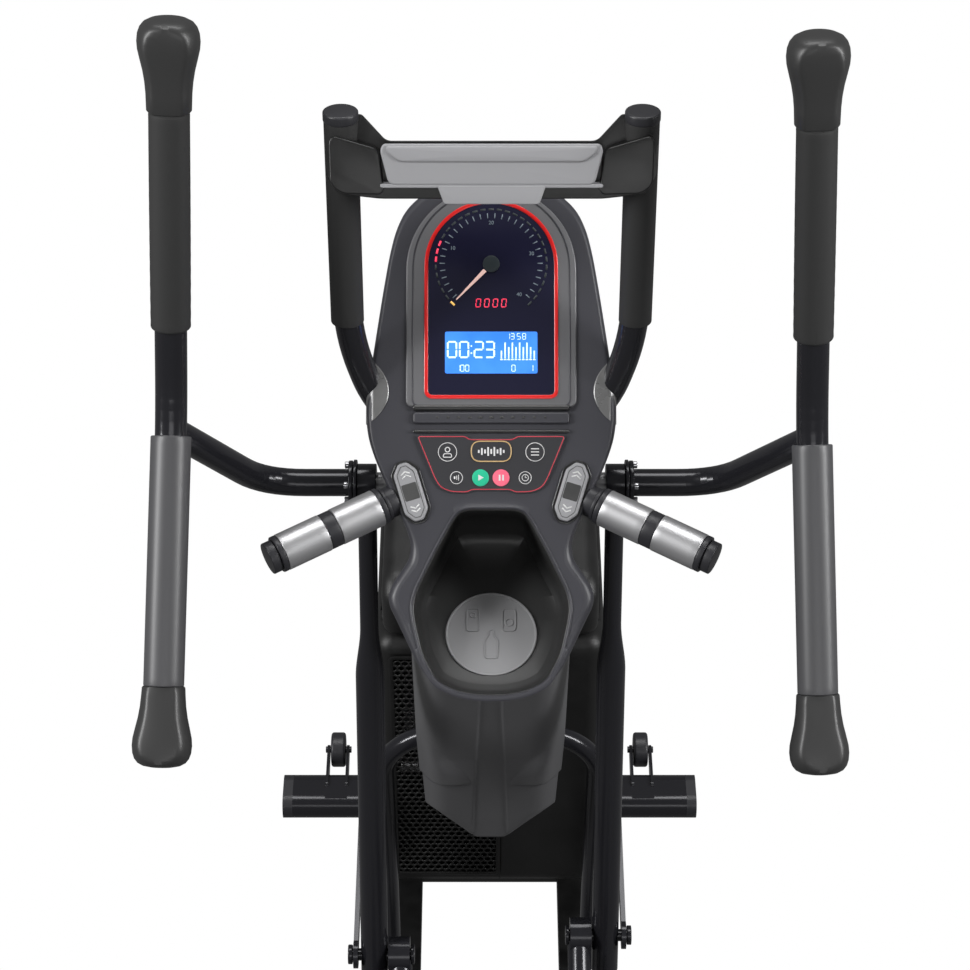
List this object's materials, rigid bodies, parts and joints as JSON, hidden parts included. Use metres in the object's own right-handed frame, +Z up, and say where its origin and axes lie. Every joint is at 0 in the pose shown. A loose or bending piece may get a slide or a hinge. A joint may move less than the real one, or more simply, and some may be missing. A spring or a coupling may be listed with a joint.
{
  "type": "air bike",
  "caption": "Air-resisted cross trainer with swinging arms, pedal legs on roller tracks, a fan drive under a grilled housing, and a console with a tray",
  "frame": {"origin": "centre of the footprint, on the floor", "axes": "+X the rider's right, +Y forward, +Z up"},
  "size_m": [0.7766, 1.2249, 1.6491],
  "materials": {
    "frame_black": "gloss",
    "cover_grey": "satin",
    "console_plastic": "satin",
    "grip_foam": "matte",
    "grip_grey": "satin",
    "bulb_rubber": "satin",
    "gunmetal": "satin",
    "red_ring": "gloss",
    "display_glass": "gloss",
    "keypad_film": "satin",
    "rocker_grey": "satin",
    "tray_black": "satin",
    "mat_rubber": "matte",
    "pulse_steel": "brushed",
    "black_plastic": "satin",
    "rack_grey": "satin",
    "bare_steel": "machined",
    "aluminium": "cast",
    "belt_rubber": "matte",
    "bolt_steel": "polished"
  },
  "bodies": {
    "frame": {"accessory_tray": "tray_black", "arch_brace": "frame_black", "arm_pivot_shaft": "bare_steel", "base_rails": "frame_black", "console_back": "console_plastic", "console_housing": "console_plastic", "display_bezel": "red_ring", "display_lens": "display_glass", "display_surround": "gunmetal", "drive_bearings": "bare_steel", "drive_belt": "belt_rubber", "drive_frame": "frame_black", "front_stabilizer": "frame_black", "housing_cap": "cover_grey", "housing_left": "cover_grey", "housing_right": "cover_grey", "keypad": "keypad_film", "levelling_feet": "black_plastic", "mast": "frame_black", "mast_cover": "cover_grey", "media_rack": "black_plastic", "media_rack_lip": "rack_grey", "power_inlet": "black_plastic", "pulse_grip_bars": "black_plastic", "pulse_plates": "pulse_steel", "pulse_trims": "black_plastic", "rear_grille": "cover_grey", "rear_stabilizer": "frame_black", "roller_tracks": "frame_black", "stabilizer_caps": "black_plastic", "static_grips": "grip_foam", "static_handlebar": "frame_black", "tray_mat": "mat_rubber", "vent_bar": "black_plastic"},
    "right_arm_body": {"right_arm": "frame_black", "right_upper_grip": "grip_foam", "right_lower_grip": "grip_grey", "right_grip_bulbs": "bulb_rubber", "right_arm_bolts": "bolt_steel"},
    "right_leg_body": {"right_leg": "frame_black", "right_pedal": "black_plastic"},
    "right_roller_body": {"right_roller": "black_plastic"},
    "right_rod_body": {"right_drive_rod": "frame_black"},
    "right_wheel_body": {"right_transport_wheel": "black_plastic"},
    "right_rocker_body": {"right_resistance_rocker": "rocker_grey"},
    "left_arm_body": {"left_arm": "frame_black", "left_upper_grip": "grip_foam", "left_lower_grip": "grip_grey", "left_grip_bulbs": "bulb_rubber", "left_arm_bolts": "bolt_steel"},
    "left_leg_body": {"left_leg": "frame_black", "left_pedal": "black_plastic"},
    "left_roller_body": {"left_roller": "black_plastic"},
    "left_rod_body": {"left_drive_rod": "frame_black"},
    "left_wheel_body": {"left_transport_wheel": "black_plastic"},
    "left_rocker_body": {"left_resistance_rocker": "rocker_grey"},
    "crank_body": {"crankshaft": "bare_steel", "crank_pulley": "aluminium", "crank_discs": "frame_black"},
    "fan_body": {"fan_rotor": "aluminium"}
  },
  "joints": [
    {"name": "left_arm_swing", "type": "hinge", "parent": "frame", "child": "left_arm_body", "pos_m": [0, 0.1575, 1.054], "axis": [1, 0, 0], "range_deg": [-8, 8]},
    {"name": "left_leg_pivot", "type": "hinge", "parent": "left_arm_body", "child": "left_leg_body", "pos_m": [-0.125, -0.02538, 0.37355], "axis": [1, 0, 0], "range_deg": [-19, 19]},
    {"name": "left_roller_spin", "type": "hinge", "parent": "left_leg_body", "child": "left_roller_body", "pos_m": [-0.125, -0.28829, 0.19429], "axis": [1, 0, 0], "range_deg": [-130, 130]},
    {"name": "left_rod_pivot", "type": "hinge", "parent": "left_arm_body", "child": "left_rod_body", "pos_m": [-0.174, -0.02538, 0.37355], "axis": [1, 0, 0], "range_deg": [-5, 5]},
    {"name": "left_transport_wheel_spin", "type": "hinge", "parent": "frame", "child": "left_wheel_body", "pos_m": [-0.236, 0.5855, 0.036], "axis": [1, 0, 0], "continuous": true},
    {"name": "right_arm_swing", "type": "hinge", "parent": "frame", "child": "right_arm_body", "pos_m": [0, 0.1575, 1.054], "axis": [1, 0, 0], "range_deg": [-8, 8]},
    {"name": "right_leg_pivot", "type": "hinge", "parent": "right_arm_body", "child": "right_leg_body", "pos_m": [0.125, 0.01049, 0.36492], "axis": [1, 0, 0], "range_deg": [-19, 19]},
    {"name": "right_roller_spin", "type": "hinge", "parent": "right_leg_body", "child": "right_roller_body", "pos_m": [0.125, -0.26427, 0.20438], "axis": [1, 0, 0], "range_deg": [-130, 130]},
    {"name": "right_rod_pivot", "type": "hinge", "parent": "right_arm_body", "child": "right_rod_body", "pos_m": [0.174, 0.01049, 0.36492], "axis": [1, 0, 0], "range_deg": [-5, 5]},
    {"name": "right_transport_wheel_spin", "type": "hinge", "parent": "frame", "child": "right_wheel_body", "pos_m": [0.236, 0.5855, 0.036], "axis": [1, 0, 0], "continuous": true},
    {"name": "crank_spin", "type": "hinge", "parent": "frame", "child": "crank_body", "pos_m": [0, 0.3235, 0.33], "axis": [1, 0, 0], "range_deg": [-66, 66]},
    {"name": "fan_spin", "type": "hinge", "parent": "frame", "child": "fan_body", "pos_m": [0, 0.3935, 0.5], "axis": [1, 0, 0], "range_deg": [-345, 345]},
    {"name": "left_rocker_tilt", "type": "hinge", "parent": "frame", "child": "left_rocker_body", "pos_m": [-0.09, 0.09173, 1.10462], "axis": [0.9563, 0.224, 0.1879], "range_deg": [-4, 4], "stiffness_Nm_per_rad": 0.5},
    {"name": "right_rocker_tilt", "type": "hinge", "parent": "frame", "child": "right_rocker_body", "pos_m": [0.09, 0.09173, 1.10462], "axis": [0.9563, -0.224, -0.1879], "range_deg": [-4, 4], "stiffness_Nm_per_rad": 0.5}
  ],
  "couplings": [
    {"joint": "right_arm_swing", "follows": "left_arm_swing", "ratio": -1},
    {"joint": "left_leg_pivot", "follows": "left_arm_swing", "ratio": -2.33},
    {"joint": "right_leg_pivot", "follows": "left_arm_swing", "ratio": 2.33},
    {"joint": "left_rod_pivot", "follows": "left_arm_swing", "ratio": -0.5},
    {"joint": "right_rod_pivot", "follows": "left_arm_swing", "ratio": 0.5},
    {"joint": "left_roller_spin", "follows": "left_arm_swing", "ratio": -14.2},
    {"joint": "right_roller_spin", "follows": "left_arm_swing", "ratio": 14.2},
    {"joint": "crank_spin", "follows": "left_arm_swing", "ratio": -8},
    {"joint": "fan_spin", "follows": "left_arm_swing", "ratio": -39.111}
  ]
}
